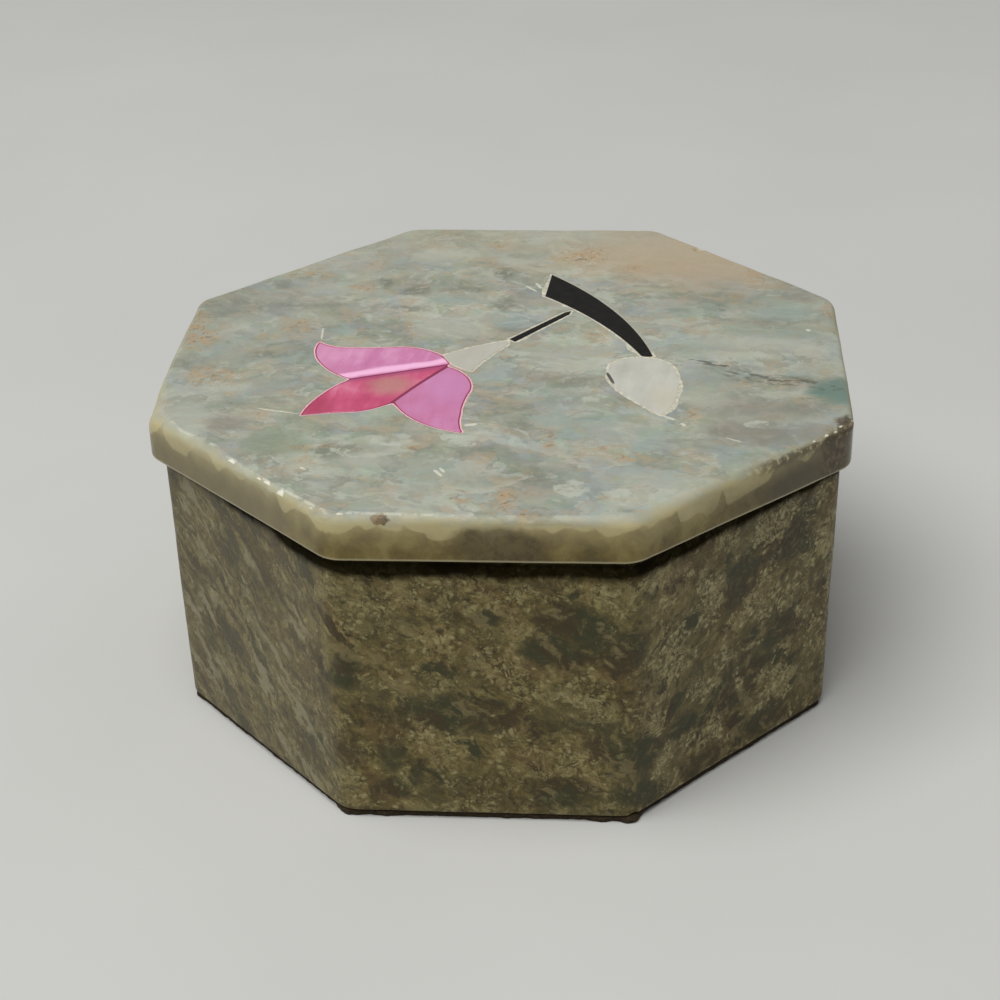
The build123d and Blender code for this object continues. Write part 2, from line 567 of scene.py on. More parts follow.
def make_cement(material):
    """The bed under the inlay and the joints that show round it."""
    shape = Shape("stain", "blush")
    level = LID_TOP - CEMENT_SUNK
    outer = []
    for loop in pocket_loops():
        mouth = shape.ring(at(loop, level))
        floor = shape.ring(at(loop, POCKET_BOTTOM))
        shape.band(mouth, floor)
        shape.fill(floor)
        outer.append(mouth)
    inner = []
    for node in PIECES:
        stained = 1.0 if node in STAINED else 0.0
        loop = piece_loop(node)
        mouth = shape.ring(at(loop, level), stain=stained, blush=stained)
        floor = shape.ring(at(loop, PIECE_BOTTOM), stain=stained, blush=stained)
        shape.band(mouth, floor)
        shape.fill(floor)
        inner.append(mouth)
    petals = [vertex.co.copy() for ring, node in zip(inner, PIECES) if node in STAINED for vertex in ring]
    for ring in outer:
        for vertex in ring:
            nearest = min((petal - vertex.co).length_squared for petal in petals)
            vertex[shape.layers["blush"]] = max(0.0, 1 - nearest)
    shape.fill(*outer, *inner)
    return shape.finish("cement_joints", material, sharp_degrees=30)


# Materials


class Finish:
    """The nodes of one procedural material, laid out in millimetres on the object."""

    def __init__(self, name):
        self.material = bpy.data.materials.new(name)
        self.material.use_nodes = True
        self.tree = self.material.node_tree
        self.shader = self.tree.nodes["Principled BSDF"]
        place = self.tree.nodes.new("ShaderNodeTexCoord").outputs["Object"]
        self.place = self.scaled(place, 1 / MM)

    def feed(self, sockets, values):
        """Links or sets sockets that are given by name or number."""
        for key, value in values.items():
            if isinstance(value, bpy.types.NodeSocket):
                self.tree.links.new(value, sockets[key])
            else:
                sockets[key].default_value = value

    def node(self, kind, inputs, **settings):
        made = self.tree.nodes.new("ShaderNode" + kind)
        for key, value in settings.items():
            setattr(made, key, value)
        self.feed(made.inputs, inputs)
        return made

    def math(self, operation, first, second=0):
        return self.node("Math", {0: first, 1: second}, operation=operation).outputs[0]

    def plus(self, *values):
        return reduce(partial(self.math, "ADD"), values)

    def times(self, *values):
        return reduce(partial(self.math, "MULTIPLY"), values)

    def most(self, *values):
        return reduce(partial(self.math, "MAXIMUM"), values)

    def minus(self, first, second):
        return self.math("SUBTRACT", first, second)

    def away(self, value):
        """How far noise is from its middle."""
        return self.math("ABSOLUTE", self.minus(value, 0.5))

    def swing(self, value, amount):
        """Noise as a shift to either side, of up to half the amount."""
        return self.times(self.minus(value, 0.5), amount)

    def vector(self, operation, first, second):
        return self.node("VectorMath", {0: first, 1: second}, operation=operation).outputs[0]

    def scaled(self, where, factor):
        return self.node("VectorMath", {0: where, "Scale": factor}, operation="SCALE").outputs[0]

    def moved(self, where, x, y, z):
        return self.vector("ADD", where, (x, y, z))

    def along(self, where, direction):
        """How far a place lies along a direction."""
        return self.node("VectorMath", {0: where, 1: direction}, operation="DOT_PRODUCT").outputs["Value"]

    def length(self, where):
        return self.node("VectorMath", {0: where}, operation="LENGTH").outputs["Value"]

    def axis(self, where, name):
        return self.node("SeparateXYZ", {0: where}).outputs[name]

    def noise(self, where, size, detail=4, roughness=0.5):
        inputs = {"Vector": where, "Scale": 1 / size, "Detail": detail, "Roughness": roughness}
        return self.node("TexNoise", inputs).outputs[0]

    def warped(self, where, size, amount, detail=2):
        """Places shifted about by noise, so that patterns on them flow."""
        shifts = self.node("TexNoise", {"Vector": where, "Scale": 1 / size, "Detail": detail}).outputs[1]
        centred = self.vector("SUBTRACT", shifts, (0.5, 0.5, 0.5))
        return self.vector("ADD", where, self.scaled(centred, 2 * amount))

    def stretched(self, where, direction, factor):
        """Places on which a pattern comes out longer along a direction."""
        line = Vector(direction).normalized()[:]
        share = self.times(self.along(where, line), 1 - 1 / factor)
        return self.vector("SUBTRACT", where, self.scaled(line, share))

    def between(self, value, low, high):
        """0 below low, 1 above high and smooth between. With low above high it falls."""
        inputs = {"Value": value, "From Min": low, "From Max": high}
        return self.node("MapRange", inputs, interpolation_type="SMOOTHSTEP").outputs[0]

    def mix(self, share, first, second, blend="MIX"):
        inputs = {0: share, 6: shade(first), 7: shade(second)}
        return self.node("Mix", inputs, data_type="RGBA", blend_type=blend).outputs[2]

    def tint(self, colour, share, strength, target):
        return self.mix(self.times(share, strength), colour, target)

    def ramp(self, value, *stops):
        """Colours along a value. A stop is its position and its red, green and blue."""
        made = self.node("ValToRGB", {0: value})
        ends = made.color_ramp.elements
        while len(ends) < len(stops):
            ends.new(0.5)
        for element, (position, *colour) in zip(ends, stops):
            element.position = position
            element.color = shade(colour)
        return made.outputs[0]

    def blot(self, where, centre, radii, soft=0.5):
        """1 inside a rounded spot and 0 outside it. A radius of 0 runs on for ever."""
        shares = [1 / radius if radius else 0 for radius in radii]
        offset = self.vector("SUBTRACT", where, centre)
        distance = self.length(self.vector("MULTIPLY", offset, shares))
        return self.between(distance, 1 + soft / 2, 1 - soft / 2)

    def streak(self, where, start, end, width, soft=0.6):
        """1 along a thin mark on the lid's top from start to end, and 0 beside it."""
        start, end = Vector(start), Vector(end)
        line = (end - start).normalized()
        middle = (start + end) / 2
        offset = self.vector("SUBTRACT", where, (middle.x, middle.y, 0))
        first = self.math("DIVIDE", self.along(offset, (line.x, line.y, 0)), (end - start).length / 2)
        second = self.math("DIVIDE", self.along(offset, (-line.y, line.x, 0)), width / 2)
        squares = self.plus(self.math("POWER", first, 4), self.math("POWER", second, 2))
        return self.between(squares, 1 + soft, 1 - soft)

    def spots(self, where, table, soft):
        """The strongest of several spots at each place. On the lid they have no height of their own."""
        found = []
        for *centre, reach, next_reach, strength in table:
            on_lid = len(centre) == 2
            centre = (*centre, 0) if on_lid else centre
            radii = (reach, next_reach, 0) if on_lid else (reach, reach, next_reach)
            found.append(self.times(self.blot(where, centre, radii, soft), strength))
        return self.most(*found)

    def cells(self, where, size):
        """How far a place is from the middle of its cell, and a share that each cell has of its own."""
        made = self.node("TexVoronoi", {"Vector": where, "Scale": 1 / size})
        return made.outputs["Distance"], self.axis(made.outputs["Color"], "X")

    def turned(self, cut):
        """Rings round the upright axis, as a cutter leaves them, where the stone is cut."""
        inputs = {"Vector": self.place, "Scale": 1.6, "Distortion": 0.6, "Detail": 2}
        rings = self.node("TexWave", inputs, wave_type="RINGS", rings_direction="Z")
        return self.times(rings.outputs["Fac"], self.times(cut, 0.8))

    def attribute(self, name):
        return self.node("Attribute", {}, attribute_name=name).outputs["Fac"]

    def bump(self, height, distance):
        """distance is in millimetres."""
        return self.node("Bump", {"Height": height, "Distance": distance * MM}).outputs[0]

    def join(self, **values):
        """Feeds the shader. A name's underscores stand for spaces."""
        self.feed(self.shader.inputs, {name.replace("_", " "): value for name, value in values.items()})
        return self.material


# Crisp patches on the lid's top, as where their noise is taken, their size and first level,
# their strength and their colour
LID_PATCHES = (
    ((40, 0, 0), 9, 0.50, 0.5, (154, 165, 155)),
    ((0, 50, 0), 6, 0.52, 0.5, (194, 196, 182)),
    ((70, 20, 0), 4, 0.54, 0.55, (132, 135, 120)),
    ((0, 0, 30), 2.6, 0.56, 0.6, (176, 160, 134)),
)
# Stains and clouds on the lid's top, as x, y, reach along x, reach along y and strength
LID_DARK = (
    (-16, 20, 0.8, 1.6, 0.9), (-12, 17.5, 1.8, 1.8, 0.9), (-12, 12.2, 2.2, 1, 0.8),
    (-1.5, 23.2, 1.3, 1.7, 0.9), (-6, 18.2, 3.2, 1, 0.7), (-1.5, 13.4, 1.2, 1.8, 0.7),
    (-10, 20, 6, 1.6, 0.5), (-28.5, 18.6, 0.8, 0.9, 0.6), (-25, 12.8, 2.4, 0.8, 0.5),
    (24.5, 13.2, 0.9, 1, 1), (21, 16.6, 6, 1.2, 0.5), (14.2, 17, 1.4, 0.6, 0.5), (32, 9.6, 4.6, 1, 0.6),
    (-16, -24.4, 2.6, 2, 0.9), (-24, -26, 3, 1.2, 0.5), (8, -7.4, 4, 1.6, 0.6), (10, -12.2, 5.6, 2, 0.5),
    (3, -13.6, 2, 0.9, 0.5), (3, -18.6, 1.6, 2.2, 0.5), (4, -29, 3.2, 1.4, 0.5),
    (29, -19.6, 3.4, 1.6, 0.6), (24.2, -18.6, 1.6, 1, 0.7), (-11, -17, 2.6, 1.2, 0.4),
    (-36, -3, 1.6, 2, 0.5), (30, -6.2, 6, 1, 0.8), (25, -3.6, 4, 0.8, 0.6), (33, -13.4, 3, 1.6, 0.6),
    (24, -10.4, 3, 1, 0.5), (-27, -1, 2.6, 1, 0.6), (-31, -13.6, 3, 1.2, 0.4),
)
LID_TAN = (
    (-36.7, 7, 1.3, 3.2, 1), (-35.4, 3, 2, 2.8, 1), (-32.4, -7, 3, 2.4, 0.8), (-24.6, 6.5, 1.7, 2.4, 0.8),
    (-28, 3.6, 1.6, 1.4, 0.5), (-25.6, 22.4, 2.5, 3, 0.6), (-18.8, 18.4, 1.7, 0.8, 0.9),
    (-19.4, 26.4, 1.8, 1.4, 0.4), (-2.7, 32.5, 1.2, 2, 0.7), (-4.2, 26.2, 1.8, 1.4, 0.6),
    (-9.4, 36.2, 1.6, 1, 0.5), (-19, 9.6, 1.2, 1.8, 0.5), (-11.7, 7.4, 0.6, 1.6, 0.8),
    (8, 28.6, 3.2, 2.8, 1), (14.2, 24.9, 1.4, 0.9, 1), (30.2, 22.6, 2.6, 3.4, 0.7),
    (37.4, 12.6, 1, 2.2, 1), (26.6, 15.4, 0.8, 1.4, 0.6), (15, -24.9, 1.9, 1, 1),
    (12.2, -23.2, 1.6, 0.7, 0.5), (-19, -23.4, 2.4, 0.7, 0.8), (-19.4, -26.2, 0.9, 1.4, 0.6),
    (2.4, -34.4, 1.3, 2.4, 1), (-2.3, -34, 0.8, 1.2, 0.9), (6, -21.6, 0.8, 2.4, 0.8),
    (21, -14.6, 0.8, 1.3, 0.9), (22.8, -27.6, 0.6, 0.9, 0.6), (-25.2, -16.4, 1.2, 1, 0.7),
    (-29.4, -11.2, 1, 0.8, 0.6), (10.4, 4.6, 1.2, 2.6, 0.6), (33.6, -11.4, 2, 0.8, 0.6),
    (30.5, -7.2, 4.6, 1.1, 0.6), (-7.8, -23.2, 0.6, 0.6, 0.8), (-0.4, -24.6, 0.9, 0.8, 0.5),
    (9.7, -29.7, 0.6, 0.5, 0.8), (4.5, -37.4, 1.2, 0.9, 1),
)
LID_DUSK = (
    (27, -19, 4, 3, 0.8), (25.4, -13.4, 4.6, 2.6, 0.7), (31, -14.6, 3.4, 2.6, 0.5),
    (33, -19, 2.4, 2, 0.6), (-28.4, -18.4, 2.8, 1.3, 0.9), (-30, 14, 5, 3.4, 0.4),
    (4.4, -5.6, 3, 1.6, 0.5), (20.6, -22, 4, 2, 0.4), (34.6, 17.4, 2.4, 2.6, 0.6),
)
LID_MILKY = (
    (-6.6, 7.2, 4.6, 3.2, 0.7), (7.4, -1.8, 4.6, 3.4, 0.6), (-10.4, 29, 3.4, 1.8, 0.8),
    (-13, -26, 3, 1.6, 0.6), (-33.6, -17.4, 2.6, 4.4, 0.6), (-8.4, -34.2, 7, 2.4, 0.3),
    (17, -31, 5, 3, 0.4), (22.4, -11.4, 2.6, 2, 0.6), (-0.6, 26.8, 2.4, 1.2, 0.6),
    (-23, 17.6, 3.4, 3, 0.4), (29, 3.4, 6, 2, 0.6), (5, 36, 6, 2, 0.5), (27, 0.2, 5, 0.9, 0.6),
    (-30, -9.6, 2.6, 1.6, 0.5), (31, -10, 3, 1, 0.5),
)
LID_BLUE = (
    (-7, 14.6, 2.4, 1.4, 0.9), (32, 11.6, 3.8, 2.2, 0.9), (20.6, 2.2, 6, 2.6, 0.6), (9, -16.4, 5, 2, 0.6),
    (6.4, -10, 3, 2, 0.5), (-34, 0.6, 2.4, 2, 0.6), (-6.4, -28, 4, 3, 0.5), (20, 12.6, 5, 2, 0.4),
    (-19, 5.8, 1, 1, 0.7), (24, -6, 5, 3, 0.4), (13, -20.4, 6, 2.4, 0.4),
)
LID_GREEN = (
    (-22.6, -22.4, 3.4, 3.2, 0.9), (-26, -8, 3, 2, 0.4), (-20.4, -18.6, 2, 1.2, 0.5),
    (14.6, -16.2, 1.8, 1.2, 0.6), (30, 6.6, 6, 1.8, 0.5), (-6, -15, 2.4, 1.6, 0.3),
)
# Milky islands with a crisp edge, in the same form
LID_ISLANDS = (
    (8.8, -31.8, 2, 1.7, 1), (13.6, -33.2, 1.4, 1.9, 0.7), (-10.6, -21.6, 2, 1.5, 0.8),
    (-4.6, -20.9, 1, 0.8, 1), (-3, -21.6, 1.2, 1.5, 1), (27.6, -17, 1.1, 0.9, 1),
    (2.4, -22.4, 1.1, 1.8, 0.6), (-32, -21, 2, 2, 0.5), (-16.4, 21.4, 1, 0.9, 0.5),
    (11.4, -4, 1.2, 2, 0.4), (-27, -21.6, 1.6, 1, 0.5), (-14.6, -29.4, 3.6, 1.4, 0.4),
)
# Scratches and specks on the lid's top, as start, end and width
LID_MARKS = (
    ((-5.4, -28.2), (-4.5, -29.6), 0.42), ((-4.9, -27.8), (-4.3, -28.7), 0.3),
    ((34.3, 7.2), (34.7, 6.8), 0.5), ((-26, -14.7), (-21.3, -15.9), 0.2),
    ((-21.8, 6.3), (-21.5, 3.2), 0.22), ((1.2, 19.2), (2.6, 17.6), 0.35),
    ((2.4, 20.2), (3.2, 18.4), 0.35), ((17.6, -15.2), (19.2, -16.3), 0.35),
    ((19.8, -17.1), (20.2, -17.7), 0.4), ((-3.2, -18.2), (-1.8, -17.8), 0.5),
    ((-19.2, -28), (-18.6, -28.6), 0.3), ((24.4, -20.3), (26, -21.2), 0.18),
)
# Fresh chips along the lid's top edge, whitened as painted glints over their paler break, as x, y, reach and
# how far down they go
LID_GLINTS = (
    (-27, -27, 0.7, 0.2), (-25.6, -28.4, 0.4, 0.15), (-23.4, -30.6, 0.5, 0.2), (-22.4, -31.5, 0.6, 0.22),
    (-20.7, -33.2, 0.55, 0.5), (-17.2, -36.4, 0.4, 0.25), (-15.6, -37.6, 0.5, 0.18),
    (-13.9, -37.8, 0.5, 0.15), (-12.4, -37.9, 0.4, 0.14), (29.5, -24.6, 0.4, 0.18),
    (33.7, -20.6, 0.28, 0.24), (35, -19.2, 0.28, 0.24), (36, -18.4, 0.3, 0.26), (36.4, -17.2, 0.25, 0.16),
)


def lid_clouds(f, flow, fine):
    """The lid's top before its stains: clouds, crisp patches and faint shifts of hue."""
    streaky = f.stretched(flow, (1, -0.12, 0), 1.4)
    calm = f.noise(streaky, 15)
    clouds = f.noise(f.moved(streaky, 25, 0, 0), 5, detail=7, roughness=0.6)
    stone = f.plus(f.times(calm, 0.35), f.times(clouds, 0.43), f.times(fine, 0.22))
    top = f.ramp(
        stone, (0.41, 143, 146, 133), (0.47, 162, 165, 151), (0.52, 173, 176, 161), (0.59, 192, 194, 180)
    )
    for offset, size, low, strength, target in LID_PATCHES:
        drift = f.noise(f.moved(streaky, *offset), size, detail=6, roughness=0.58)
        share = f.times(f.between(drift, low, low + 0.015), f.between(drift, low + 0.13, low + 0.02))
        top = f.tint(top, share, strength, target)
    # Warm and green, then yellow and blue
    hue = f.noise(f.moved(flow, 33, 44, 0), 3.6, detail=6, roughness=0.66)
    top = f.tint(top, f.between(hue, 0.50, 0.60), 0.32, (182, 168, 152))
    top = f.tint(top, f.between(hue, 0.48, 0.38), 0.32, (152, 170, 144))
    hue = f.noise(f.moved(flow, 3, 14, 50), 5, detail=7, roughness=0.64)
    top = f.tint(top, f.between(hue, 0.51, 0.63), 0.32, (176, 172, 144))
    return f.tint(top, f.between(hue, 0.49, 0.37), 0.38, (156, 167, 172))


def lid_stains(f, top, flow, ragged, fine, specks):
    """The stains, islands and veins that have a place of their own on the lid's top, and painted shade
    towards its left and right ends.
    """
    # Painted shade: the top darker towards its left and right ends.
    outward = f.math("ABSOLUTE", f.axis(flow, "X"))
    top = f.tint(top, f.between(outward, 12, 36), 0.25, (140, 145, 132))
    top = f.tint(top, f.blot(flow, (21, 29, 0), (13, 9, 0), 1.2), 0.75, (188, 167, 138))
    top = f.tint(top, f.between(f.axis(flow, "Y"), 20, 34), 0.4, (178, 172, 150))
    mottle = f.between(fine, 0.40, 0.52)
    for table, target, strength, broken, soft in (
        (LID_DARK, (118, 121, 103), 0.8, mottle, 1.1),
        (LID_GREEN, (140, 152, 129), 0.7, 1, 0.6),
        (LID_BLUE, (152, 166, 158), 0.7, 1, 1.1),
        (LID_DUSK, (144, 139, 127), 0.75, 1, 1.1),
        (LID_MILKY, (186, 187, 172), 0.85, 1, 1.1),
    ):
        top = f.mix(f.times(f.spots(ragged, table, soft), strength, broken), top, target)
    tan = f.spots(ragged, LID_TAN, 1.1)
    top = f.tint(top, f.times(tan, specks), 0.8, (182, 158, 122))
    rust = f.between(f.noise(f.moved(ragged, 2, 8, 4), 0.8, detail=6, roughness=0.74), 0.54, 0.60)
    top = f.tint(top, f.times(tan, rust), 0.6, (130, 104, 70))
    island = f.times(f.spots(ragged, LID_ISLANDS, 0.25), f.between(fine, 0.34, 0.54))
    top = f.tint(top, island, 0.6, (196, 200, 186))
    teal = f.blot(ragged, (36.6, -9, 0), (2.6, 3.4, 0), 0.8)
    top = f.tint(top, teal, 0.85, (106, 132, 122))
    lines = f.stretched(f.warped(f.place, 2.5, 0.7, detail=4), (1, -0.4, 0), 3)
    lines = f.between(f.noise(lines, 0.8, detail=6), 0.48, 0.56)
    veins = f.most(
        f.streak(ragged, (24.5, -4.6), (37, -8.2), 2.2, 0.9),
        f.streak(ragged, (20, -1.4), (26, -3.2), 1.2, 0.9),
    )
    return f.tint(top, f.times(lines, veins), 0.8, (92, 94, 80))


def lid_side(f, ragged, height, blotches, specks):
    """The lid's sides: a milky layer hangs down in scallops over olive-brown stone, paler at the top partly
    as a painted glow, with a painted highlight at the lower edge.
    """
    across = f.axis(ragged, "X")
    side = f.ramp(blotches, (0.36, 88, 74, 35), (0.50, 110, 95, 47), (0.64, 130, 116, 66))
    side = f.tint(side, f.between(across, -15, -23), 0.75, (122, 113, 84))
    side = f.tint(side, f.between(across, 22, 32), 0.85, (78, 71, 51))
    upright = f.stretched(f.warped(f.place, 2.4, 0.9, detail=5), (0, 0, 1), 6)
    scallops = f.times(f.math("MINIMUM", f.away(f.noise(upright, 6, detail=1)), 0.15), 14)
    ends = f.plus(f.between(across, 23, 31), f.times(f.between(across, -15, -22), 0.7))
    scallop = f.between(f.minus(f.plus(height, scallops), ends), LID_TOP - 1.2, LID_TOP - 0.85)
    # Paler towards the top edge: partly the milky layer, partly a painted glow of light coming through the
    # edge.
    haze_and_glow = f.between(f.minus(f.plus(height, blotches), ends), LID_TOP - 3.8, LID_TOP + 0.4)
    near_front = f.between(f.axis(f.place, "Y"), 0, -16)
    some = f.between(f.noise(f.moved(f.place, 0, 0, 70), 7), 0.30, 0.46)
    crisp = f.plus(f.times(near_front, 0.22), f.times(some, 0.16))
    side = f.mix(f.plus(f.times(scallop, crisp), f.times(haze_and_glow, 0.54)), side, (196, 184, 138))
    front_dark = f.blot(ragged, (2, -38, LID_TOP - 3.2), (4.3, 10, 2.4), 0.6)
    side = f.tint(side, front_dark, 0.75, f.mix(specks, (66, 52, 30), (88, 76, 46)))
    # Painted highlight: a pale line along the lid's lower edge, where its rounding catches light from the
    # floor.
    lower_edge_highlight = f.between(height, RIM_LEVEL + 0.45, RIM_LEVEL + 0.2)
    return f.tint(side, lower_edge_highlight, 0.7, (176, 168, 136))


def lid_breaks(f, colour, ragged, height):
    """Bare stone in the broken right corner, on the rough edge beside it and in the front pit."""
    crumbs = f.noise(f.warped(f.place, 0.8, 0.4, detail=4), 0.7, detail=5, roughness=0.7)
    corner = f.most(
        f.blot(ragged, (37.3, -16.8, LID_TOP - 0.7), (1.4, 2.4, 1.5), 0.5),
        f.blot(ragged, (36.2, -19, LID_TOP - 2.4), (2.2, 2.6, 2.8), 0.6),
    )
    broken = f.ramp(crumbs, (0.38, 54, 44, 28), (0.50, 80, 66, 44), (0.64, 120, 103, 76))
    colour = f.tint(colour, corner, 0.85, broken)
    rough_edge = f.times(
        f.between(f.axis(ragged, "X"), 25, 30),
        f.between(height, LID_TOP - 1.9, LID_TOP - 0.9),
        f.between(height, LID_TOP - 0.1, LID_TOP - 0.5),
        f.between(f.axis(f.place, "Y"), -6, -14),
        f.between(crumbs, 0.62, 0.50),
    )
    colour = f.tint(colour, rough_edge, 0.75, (70, 61, 42))
    torn = f.warped(f.warped(f.place, 1, 0.55, detail=4), 0.35, 0.2)
    pit = f.blot(torn, (-9.9, -38.1, LID_TOP - 0.35), (0.95, 1, 0.6), 0.3)
    pit_colour = f.mix(f.between(crumbs, 0.42, 0.58), (72, 56, 34), (134, 114, 80))
    return f.tint(colour, pit, 0.88, pit_colour)


def lid_chip_glints(f, colour, height, ragged):
    """Fresh chips along the top edge, whitened as painted glints, and a thin pale dashed line between them.
    """
    below = f.minus(LID_TOP, height)
    started = f.between(below, 0, 0.03)
    chips = []
    for x, y, reach, down in LID_GLINTS:
        chip = f.blot(ragged, (x, y, 0), (reach, reach, 0), 0.4)
        chips.append(f.times(chip, f.between(below, down + 0.05, down)))
    # Painted highlight: the chips turn near-white as glints over their paler break.
    colour = f.tint(colour, f.times(f.most(*chips), started), 0.85, (228, 226, 210))
    dashes = f.between(f.noise(f.moved(f.place, 4, 4, 0), 1.6, roughness=0.7), 0.48, 0.56)
    near_front = f.times(f.between(f.axis(f.place, "X"), 4, -8), f.between(f.axis(f.place, "Y"), -12, -24))
    line = f.times(started, f.between(below, 0.16, 0.10), dashes, near_front)
    return f.tint(colour, line, 0.4, (214, 213, 196))


def lid_stone_finish():
    """Polished pale green stone: milky clouds, grey streaks, tan stains and olive sides."""
    f = Finish("lid_stone")
    flow = f.warped(f.warped(f.place, 13, 2.4), 3.5, 0.9, detail=5)
    ragged = f.warped(f.warped(f.place, 3, 1.4, detail=5), 0.8, 0.4, detail=4)
    small_ragged = f.warped(f.place, 0.5, 0.15)
    fine = f.noise(f.moved(flow, 9, 3, 0), 1.4, detail=7, roughness=0.66)
    specks = f.noise(f.moved(ragged, 2, 8, 0), 1.1, detail=8, roughness=0.74)
    specks = f.between(specks, 0.44, 0.56)
    grain = f.noise(f.place, 0.45, detail=3, roughness=0.6)
    top = lid_stains(f, lid_clouds(f, flow, fine), flow, ragged, fine, specks)
    top = f.mix(0.35, top, f.mix(grain, (96, 96, 96), (160, 160, 160)), blend="SOFT_LIGHT")

    height = f.axis(f.place, "Z")
    blotches = f.noise(f.moved(flow, 11, 7, 3), 3, detail=7, roughness=0.62)
    side = lid_side(f, ragged, height, blotches, specks)
    turn = f.plus(height, f.swing(blotches, 2))
    colour = f.mix(f.between(turn, LID_TOP - 1.2, LID_TOP - 0.1), side, top)
    crest = f.times(
        f.between(height, LID_TOP, LID_TOP - 0.2),
        f.between(turn, LID_TOP - 1.6, LID_TOP - 0.9),
    )
    colour = f.tint(colour, crest, 0.3, (174, 167, 132))
    colour = lid_breaks(f, colour, ragged, height)
    colour = lid_chip_glints(f, colour, height, small_ragged)
    cut = f.attribute("cut")
    colour = f.tint(colour, cut, 0.6, (170, 168, 150))
    for start, end, width in LID_MARKS:
        colour = f.tint(colour, f.streak(small_ragged, start, end, width), 0.7, (220, 217, 198))

    edge = f.times(
        f.between(height, LID_TOP, LID_TOP - 0.06),
        f.between(height, LID_TOP - 1.1, LID_TOP - 0.7),
    )
    rough = f.plus(f.times(grain, 0.1), f.times(cut, 0.35), 0.18, f.times(edge, 0.35))
    pores = f.between(f.noise(f.moved(flow, 5, 5, 5), 1.4, roughness=0.7), 0.70, 0.80)
    relief = f.plus(f.minus(f.noise(f.place, 7), f.times(pores, 0.3)), f.turned(cut))
    return f.join(
        Base_Color=colour,
        Roughness=rough,
        Specular_IOR_Level=0.4,
        Subsurface_Weight=0.3,
        Subsurface_Radius=(1.0, 0.9, 0.6),
        Subsurface_Scale=2 * MM,
        Normal=f.bump(relief, 0.05),
    )


# Dark patches on the body's sides, as x, y, z, reach, height and strength
BODY_DARK = (
    (9.2, -36.7, 25.2, 4.2, 2.2, 1), (12.4, -36.7, 21.8, 4.4, 2.4, 0.9), (6.4, -36.7, 21.8, 2.8, 2.6, 1),
    (0.2, -36.7, 25.5, 1.4, 1, 1), (-4.5, -36.7, 13.8, 3.6, 2.4, 1), (0.4, -36.7, 13.4, 3.4, 1.8, 0.8),
    (8.9, -36.7, 12.6, 3.2, 0.9, 0.7), (7.9, -36.7, 4.1, 3.6, 2, 1), (12.9, -36.7, 10.4, 3, 2.6, 0.9),
    (-14.5, -36.7, 19, 1.6, 2.6, 1), (-8.5, -36.7, 12.9, 1.4, 2.2, 0.8), (-10.1, -36.7, 8.5, 2, 2.2, 0.7),
    (-10.3, -36.7, 3.9, 2.2, 1.6, 0.9), (-15, -36.7, 8.4, 2, 1.6, 0.6), (-6, -36.7, 25, 2.6, 0.9, 0.4),
    (26.3, -25.4, 23.4, 2.6, 4, 0.9), (31.8, -20, 24.4, 4, 1.6, 0.8), (31.7, -20, 13.9, 3.2, 1.8, 0.9),
    (28.6, -23.2, 11.2, 2.6, 1.8, 0.9), (25.2, -26.5, 9.4, 2, 3.2, 1), (20.5, -31.3, 9, 3, 1.6, 1),
    (16.5, -35.3, 8.3, 3.4, 2, 1), (16, -35.6, 3.6, 3.2, 1.8, 0.9), (23, -28.8, 2.2, 4, 1.4, 0.8),
    (30, -21.8, 3.4, 4, 2, 0.8), (22, -29.6, 15.6, 1.4, 1.8, 0.6), (-24.5, -27.5, 24.4, 2, 2.2, 0.7),
    (-19.3, -32.6, 25.8, 1.4, 3.2, 0.5), (-19.8, -32.2, 5, 3, 3.6, 0.6), (-33.4, -18.6, 12, 1.6, 7, 0.5),
)
# Patches with many pale flakes, in the same form
BODY_PALE = (
    (-6.8, -36.7, 10.4, 2.2, 1.8, 1), (-3.5, -36.7, 9.5, 2, 1.4, 0.9), (-3.4, -36.7, 21.5, 1.4, 1.2, 0.9),
    (12.4, -36.7, 24.9, 1, 1.2, 0.9), (14, -36.7, 22.8, 0.9, 1.4, 0.9), (8.7, -36.7, 21.5, 0.8, 1.6, 0.9),
    (10.2, -36.7, 8.6, 3.2, 1.6, 0.8), (-15, -36.7, 5.5, 1.4, 1.2, 0.8), (17.9, -33.9, 18.6, 2.6, 3, 0.8),
    (17.5, -34.3, 11.6, 2.2, 1.6, 0.9), (24.1, -27.6, 6.2, 1.6, 1.6, 0.9),
    (29.6, -22.1, 28.1, 2.2, 1.6, 0.9), (33.6, -18.2, 15.4, 0.8, 0.8, 1), (18.2, -33.5, 5.8, 1.8, 1, 0.7),
    (1, -36.7, 19, 3, 3.4, 0.5), (-8, -36.7, 28, 5, 2.4, 0.5), (22.4, -29.2, 11.8, 2, 1.4, 0.7),
    (28, -24, 19.5, 2, 1.6, 0.6),
)


def body_base(f, layered, lumps, dark):
    """Olive-brown stone with darker, smoother patches."""
    patches = f.noise(layered, 9, detail=6, roughness=0.66)
    tint = f.noise(f.moved(layered, 0, 0, 60), 7, detail=5, roughness=0.6)
    stone = f.plus(f.times(patches, 0.4), f.times(lumps, 0.6))
    base = f.ramp(stone, (0.38, 58, 49, 24), (0.46, 82, 71, 37), (0.52, 101, 88, 49), (0.60, 128, 114, 70))
    base = f.tint(base, f.between(tint, 0.50, 0.62), 0.4, (82, 80, 50))
    base = f.tint(base, f.between(tint, 0.46, 0.36), 0.4, (100, 78, 46))
    dark_colour = f.mix(f.between(tint, 0.44, 0.54), (60, 49, 26), (55, 56, 32))
    return f.tint(base, f.times(dark, f.between(lumps, 0.76, 0.50)), 0.92, dark_colour)


